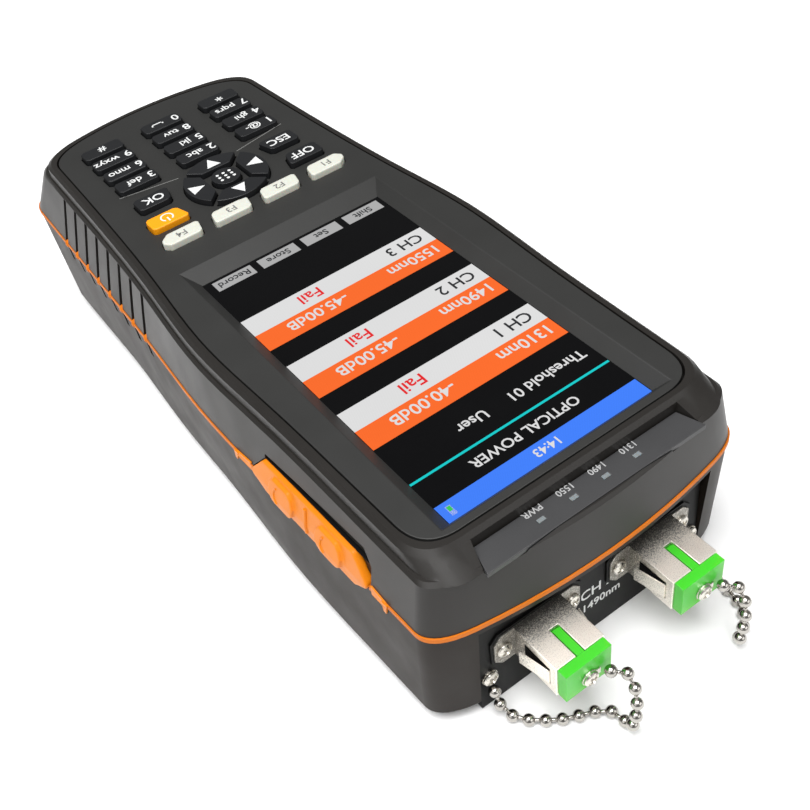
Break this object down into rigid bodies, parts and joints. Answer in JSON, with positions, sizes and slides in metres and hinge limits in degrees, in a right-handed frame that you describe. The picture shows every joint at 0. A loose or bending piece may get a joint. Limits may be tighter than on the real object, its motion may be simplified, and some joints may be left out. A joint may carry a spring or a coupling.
{
  "type": "pon power meter",
  "caption": "Handheld optical network power meter: dark two-part case with a seam gasket, screen, keypad, capped fibre adapters on chains and a side port cover.",
  "frame": {"origin": "middle of the flat back face, half way along the seam outline", "axes": "+Z out of the screen, +Y from the connector end to the keypad end, +X to the right"},
  "size_m": [0.0899, 0.2392, 0.0533],
  "materials": {
    "shell": "satin",
    "panel": "satin",
    "bay_panel": "matt",
    "orange_rubber": "matt",
    "window": "gloss",
    "display": "gloss",
    "board": "satin",
    "silicone": "matt",
    "diffuser": "satin",
    "nickel": "satin",
    "ceramic": "gloss",
    "steel": "polished",
    "green_plastic": "satin",
    "block_metal": "satin",
    "wrap": "satin",
    "dark_key": "matt",
    "white_key": "matt",
    "amber_key": "matt"
  },
  "bodies": {
    "case": {"front_shell": "shell", "rear_shell": "shell", "seam_gasket": "orange_rubber", "front_panel": "panel", "screen_window": "window", "display_module": "display", "main_board": "board", "keypad_membrane": "silicone", "led_plate": "panel", "led_windows": "diffuser", "connector_panel": "bay_panel", "adapter_left": "nickel", "adapter_right": "nickel", "sleeve_left": "ceramic", "sleeve_right": "ceramic", "adapter_screws": "steel", "anchor_screws": "steel", "anchor_eyelets": "steel", "detector_block": "block_metal", "dc_jack": "bay_panel", "usb_socket": "nickel", "battery_pack": "wrap", "battery_cover": "shell", "battery_cover_screws": "steel", "case_screws": "steel"},
    "cap_left": {"dust_cap_left": "green_plastic", "cap_eyelet_left": "steel", "cap_screw_left": "steel", "cap_chain_left": "steel"},
    "cap_right": {"dust_cap_right": "green_plastic", "cap_eyelet_right": "steel", "cap_screw_right": "steel", "cap_chain_right": "steel"},
    "cover": {"port_cover": "orange_rubber"},
    "key_1_button": {"key_1": "dark_key"},
    "key_2_button": {"key_2": "dark_key"},
    "key_3_button": {"key_3": "dark_key"},
    "key_4_button": {"key_4": "dark_key"},
    "key_5_button": {"key_5": "dark_key"},
    "key_6_button": {"key_6": "dark_key"},
    "key_7_button": {"key_7": "dark_key"},
    "key_8_button": {"key_8": "dark_key"},
    "key_9_button": {"key_9": "dark_key"},
    "key_star_button": {"key_star": "dark_key"},
    "key_0_button": {"key_0": "dark_key"},
    "key_hash_button": {"key_hash": "dark_key"},
    "key_f1_button": {"key_f1": "white_key"},
    "key_f2_button": {"key_f2": "white_key"},
    "key_f3_button": {"key_f3": "white_key"},
    "key_f4_button": {"key_f4": "white_key"},
    "key_off_button": {"key_off": "dark_key"},
    "key_power_button": {"key_power": "amber_key"},
    "key_escape_button": {"key_escape": "dark_key"},
    "key_ok_button": {"key_ok": "dark_key"},
    "key_menu_button": {"key_menu": "dark_key"},
    "key_arrow_right_button": {"key_arrow_right": "dark_key"},
    "key_arrow_left_button": {"key_arrow_left": "dark_key"},
    "key_arrow_down_button": {"key_arrow_down": "dark_key"},
    "key_arrow_up_button": {"key_arrow_up": "dark_key"}
  },
  "joints": [
    {"name": "cap_left_pull", "type": "slide", "parent": "case", "child": "cap_left", "axis": [0, -1, 0], "range_m": [0, 0.012]},
    {"name": "cap_right_pull", "type": "slide", "parent": "case", "child": "cap_right", "axis": [0, -1, 0], "range_m": [0, 0.012]},
    {"name": "cover_hinge", "type": "hinge", "parent": "case", "child": "cover", "pos_m": [-0.0442, -0.0621, 0.0304], "axis": [0.031, -0.9995, 0], "range_deg": [0, 90]},
    {"name": "key_1_press", "type": "slide", "parent": "case", "child": "key_1_button", "axis": [0, 0, -1], "range_m": [0, 0.0006], "stiffness_N_per_m": 400},
    {"name": "key_2_press", "type": "slide", "parent": "case", "child": "key_2_button", "axis": [0, 0, -1], "range_m": [0, 0.0006], "stiffness_N_per_m": 400},
    {"name": "key_3_press", "type": "slide", "parent": "case", "child": "key_3_button", "axis": [0, 0, -1], "range_m": [0, 0.0006], "stiffness_N_per_m": 400},
    {"name": "key_4_press", "type": "slide", "parent": "case", "child": "key_4_button", "axis": [0, 0, -1], "range_m": [0, 0.0006], "stiffness_N_per_m": 400},
    {"name": "key_5_press", "type": "slide", "parent": "case", "child": "key_5_button", "axis": [0, 0, -1], "range_m": [0, 0.0006], "stiffness_N_per_m": 400},
    {"name": "key_6_press", "type": "slide", "parent": "case", "child": "key_6_button", "axis": [0, 0, -1], "range_m": [0, 0.0006], "stiffness_N_per_m": 400},
    {"name": "key_7_press", "type": "slide", "parent": "case", "child": "key_7_button", "axis": [0, 0, -1], "range_m": [0, 0.0006], "stiffness_N_per_m": 400},
    {"name": "key_8_press", "type": "slide", "parent": "case", "child": "key_8_button", "axis": [0, 0, -1], "range_m": [0, 0.0006], "stiffness_N_per_m": 400},
    {"name": "key_9_press", "type": "slide", "parent": "case", "child": "key_9_button", "axis": [0, 0, -1], "range_m": [0, 0.0006], "stiffness_N_per_m": 400},
    {"name": "key_star_press", "type": "slide", "parent": "case", "child": "key_star_button", "axis": [0, 0, -1], "range_m": [0, 0.0006], "stiffness_N_per_m": 400},
    {"name": "key_0_press", "type": "slide", "parent": "case", "child": "key_0_button", "axis": [0, 0, -1], "range_m": [0, 0.0006], "stiffness_N_per_m": 400},
    {"name": "key_hash_press", "type": "slide", "parent": "case", "child": "key_hash_button", "axis": [0, 0, -1], "range_m": [0, 0.0006], "stiffness_N_per_m": 400},
    {"name": "key_f1_press", "type": "slide", "parent": "case", "child": "key_f1_button", "axis": [0, 0, -1], "range_m": [0, 0.0006], "stiffness_N_per_m": 400},
    {"name": "key_f2_press", "type": "slide", "parent": "case", "child": "key_f2_button", "axis": [0, 0, -1], "range_m": [0, 0.0006], "stiffness_N_per_m": 400},
    {"name": "key_f3_press", "type": "slide", "parent": "case", "child": "key_f3_button", "axis": [0, 0, -1], "range_m": [0, 0.0006], "stiffness_N_per_m": 400},
    {"name": "key_f4_press", "type": "slide", "parent": "case", "child": "key_f4_button", "axis": [0, 0, -1], "range_m": [0, 0.0006], "stiffness_N_per_m": 400},
    {"name": "key_off_press", "type": "slide", "parent": "case", "child": "key_off_button", "axis": [0, 0, -1], "range_m": [0, 0.0006], "stiffness_N_per_m": 400},
    {"name": "key_power_press", "type": "slide", "parent": "case", "child": "key_power_button", "axis": [0, 0, -1], "range_m": [0, 0.0006], "stiffness_N_per_m": 400},
    {"name": "key_escape_press", "type": "slide", "parent": "case", "child": "key_escape_button", "axis": [0, 0, -1], "range_m": [0, 0.0006], "stiffness_N_per_m": 400},
    {"name": "key_ok_press", "type": "slide", "parent": "case", "child": "key_ok_button", "axis": [0, 0, -1], "range_m": [0, 0.0006], "stiffness_N_per_m": 400},
    {"name": "key_menu_press", "type": "slide", "parent": "case", "child": "key_menu_button", "axis": [0, 0, -1], "range_m": [0, 0.0006], "stiffness_N_per_m": 400},
    {"name": "key_arrow_right_press", "type": "slide", "parent": "case", "child": "key_arrow_right_button", "axis": [0, 0, -1], "range_m": [0, 0.0006], "stiffness_N_per_m": 400},
    {"name": "key_arrow_left_press", "type": "slide", "parent": "case", "child": "key_arrow_left_button", "axis": [0, 0, -1], "range_m": [0, 0.0006], "stiffness_N_per_m": 400},
    {"name": "key_arrow_down_press", "type": "slide", "parent": "case", "child": "key_arrow_down_button", "axis": [0, 0, -1], "range_m": [0, 0.0006], "stiffness_N_per_m": 400},
    {"name": "key_arrow_up_press", "type": "slide", "parent": "case", "child": "key_arrow_up_button", "axis": [0, 0, -1], "range_m": [0, 0.0006], "stiffness_N_per_m": 400}
  ]
}
